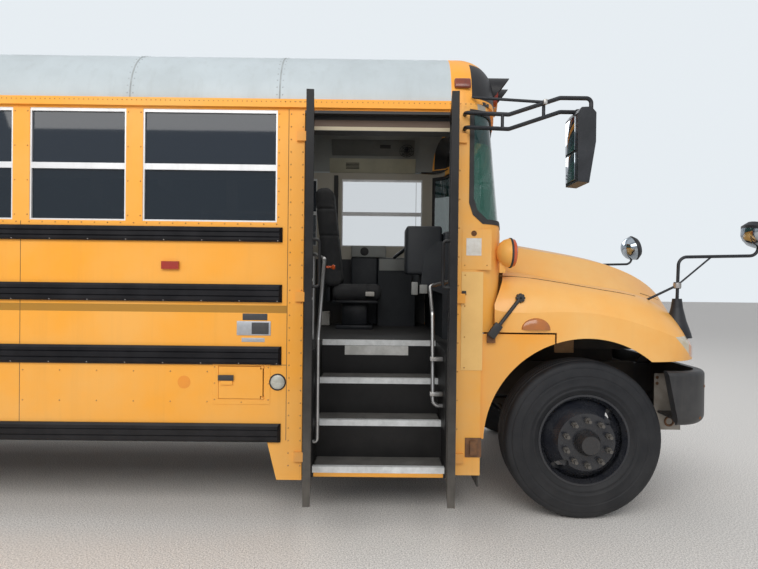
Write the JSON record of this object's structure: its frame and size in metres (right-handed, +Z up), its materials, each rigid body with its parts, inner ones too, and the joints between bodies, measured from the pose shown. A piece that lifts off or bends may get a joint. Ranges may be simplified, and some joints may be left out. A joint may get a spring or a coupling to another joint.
{
  "type": "school bus",
  "caption": "Forward-engine school bus with open folding entrance door, tilting bonnet, steered front wheels, rear emergency door and roof hatches.",
  "frame": {"origin": "On the ground under the middle of the bus", "axes": "+X forward, +Y to the left, +Z up"},
  "size_m": [11.8175, 3.2872, 3.2135],
  "materials": {
    "yellow_paint": "gloss",
    "black_paint": "satin",
    "bright_frame": "satin",
    "steel": "satin",
    "tinted_glass": "gloss",
    "tyre": "matte",
    "black_rubber": "matte",
    "engine_iron": "matte",
    "floor_covering": "matte",
    "grey_plastic": "matte",
    "seat_cover": "matte",
    "red_lens": "gloss",
    "amber_lens": "gloss",
    "clear_lens": "gloss",
    "white_paint": "gloss"
  },
  "bodies": {
    "chassis": {"left_wall": "yellow_paint", "right_wall": "yellow_paint", "rub_rails": "black_paint", "window_frames": "bright_frame", "window_glass": "tinted_glass", "roof": "yellow_paint", "front_cap": "yellow_paint", "windscreen_seal": "black_rubber", "windscreen": "tinted_glass", "cowl": "yellow_paint", "rear_fenders": "yellow_paint", "rear_end": "yellow_paint", "floor": "floor_covering", "step_well": "black_paint", "nosings": "bright_frame", "door_header": "yellow_paint", "body_fittings": "yellow_paint", "chassis_frame": "black_paint", "front_axle": "black_paint", "rear_axle": "black_paint", "engine": "engine_iron", "fuel_tank": "black_paint", "exhaust": "steel", "front_bumper": "black_paint", "rear_bumper": "black_paint", "dashboard": "grey_plastic", "driver_seat": "seat_cover", "passenger_seats": "seat_cover", "seat_frames": "steel", "grab_rails": "steel", "side_mirrors": "black_paint", "red_lamps": "red_lens", "amber_lamps": "amber_lens"},
    "knuckle_right": {"knuckle_right": "black_paint"},
    "knuckle_left": {"knuckle_left": "black_paint"},
    "tie_rod": {"tie_rod": "black_paint"},
    "front_wheel_right": {"front_tyre_right": "tyre", "front_wheel_right": "black_paint"},
    "front_wheel_left": {"front_tyre_left": "tyre", "front_wheel_left": "black_paint"},
    "rear_wheels_right": {"rear_tyres_right": "tyre", "rear_wheels_right": "black_paint"},
    "rear_wheels_left": {"rear_tyres_left": "tyre", "rear_wheels_left": "black_paint"},
    "steering_wheel": {"steering_wheel": "grey_plastic"},
    "front_leaf": {"front_leaf": "black_paint", "front_leaf_glass": "tinted_glass"},
    "rear_leaf": {"rear_leaf": "black_paint", "rear_leaf_glass": "tinted_glass"},
    "rear_door": {"rear_door": "yellow_paint", "rear_door_glass": "tinted_glass"},
    "front_hatch": {"front_hatch": "yellow_paint"},
    "rear_hatch": {"rear_hatch": "yellow_paint"},
    "bonnet": {"bonnet": "yellow_paint", "headlamps": "clear_lens", "grille": "grey_plastic", "bonnet_mirrors": "black_paint"},
    "fuel_door": {"fuel_door": "yellow_paint"},
    "stop_arm": {"stop_arm": "red_lens"},
    "crossing_arm": {"crossing_arm": "white_paint"}
  },
  "joints": [
    {"name": "steer_right", "type": "hinge", "parent": "chassis", "child": "knuckle_right", "pos_m": [4.575, -0.905, 0.516], "axis": [0, 0, 1], "range_deg": [-38, 38]},
    {"name": "steer_left", "type": "hinge", "parent": "chassis", "child": "knuckle_left", "pos_m": [4.575, 0.905, 0.516], "axis": [0, 0, 1], "range_deg": [-38, 38]},
    {"name": "tie_rod_swing", "type": "hinge", "parent": "knuckle_right", "child": "tie_rod", "pos_m": [4.385, -0.905, 0.407], "axis": [0, 0, 1], "range_deg": [-38, 38]},
    {"name": "front_right_spin", "type": "hinge", "parent": "knuckle_right", "child": "front_wheel_right", "pos_m": [4.575, -1.02, 0.516], "axis": [0, 1, 0], "continuous": true},
    {"name": "front_left_spin", "type": "hinge", "parent": "knuckle_left", "child": "front_wheel_left", "pos_m": [4.575, 1.02, 0.516], "axis": [0, 1, 0], "continuous": true},
    {"name": "rear_right_spin", "type": "hinge", "parent": "chassis", "child": "rear_wheels_right", "pos_m": [-1.877, -0.912, 0.516], "axis": [0, 1, 0], "continuous": true},
    {"name": "rear_left_spin", "type": "hinge", "parent": "chassis", "child": "rear_wheels_left", "pos_m": [-1.877, 0.912, 0.516], "axis": [0, 1, 0], "continuous": true},
    {"name": "steering_wheel_turn", "type": "hinge", "parent": "chassis", "child": "steering_wheel", "pos_m": [3.565, 0.61, 1.9], "axis": [-0.6157, 0, 0.788], "range_deg": [-684, 684]},
    {"name": "front_leaf_swing", "type": "hinge", "parent": "chassis", "child": "front_leaf", "pos_m": [3.718, -1.229, 1.43], "axis": [0, 0, 1], "range_deg": [-84, 0]},
    {"name": "rear_leaf_swing", "type": "hinge", "parent": "chassis", "child": "rear_leaf", "pos_m": [2.767, -1.229, 1.43], "axis": [0, 0, 1], "range_deg": [0, 84]},
    {"name": "rear_door_swing", "type": "hinge", "parent": "chassis", "child": "rear_door", "pos_m": [-5.727, -0.476, 1.85], "axis": [0, 0, 1], "range_deg": [0, 95]},
    {"name": "front_hatch_tilt", "type": "hinge", "parent": "chassis", "child": "front_hatch", "pos_m": [0.919, 0, 3.195], "axis": [0, 1, 0], "range_deg": [0, 50]},
    {"name": "rear_hatch_tilt", "type": "hinge", "parent": "chassis", "child": "rear_hatch", "pos_m": [-3.281, 0, 3.195], "axis": [0, 1, 0], "range_deg": [0, 50]},
    {"name": "bonnet_tilt", "type": "hinge", "parent": "chassis", "child": "bonnet", "pos_m": [5.35, 0, 1], "axis": [0, 1, 0], "range_deg": [0, 55]},
    {"name": "fuel_door_swing", "type": "hinge", "parent": "chassis", "child": "fuel_door", "pos_m": [2.503, -1.221, 0.883], "axis": [0, 0, 1], "range_deg": [0, 100]},
    {"name": "stop_arm_swing", "type": "hinge", "parent": "chassis", "child": "stop_arm", "pos_m": [3.375, 1.281, 1.638], "axis": [0, 0, -1], "range_deg": [0, 90]},
    {"name": "crossing_arm_swing", "type": "hinge", "parent": "chassis", "child": "crossing_arm", "pos_m": [5.47, -0.885, 0.76], "axis": [0, 0, -1], "range_deg": [0, 90]}
  ],
  "couplings": [
    {"joint": "steer_left", "follows": "steer_right", "ratio": 1},
    {"joint": "tie_rod_swing", "follows": "steer_right", "ratio": -1},
    {"joint": "steering_wheel_turn", "follows": "steer_right", "ratio": 18},
    {"joint": "rear_leaf_swing", "follows": "front_leaf_swing", "ratio": -1}
  ]
}
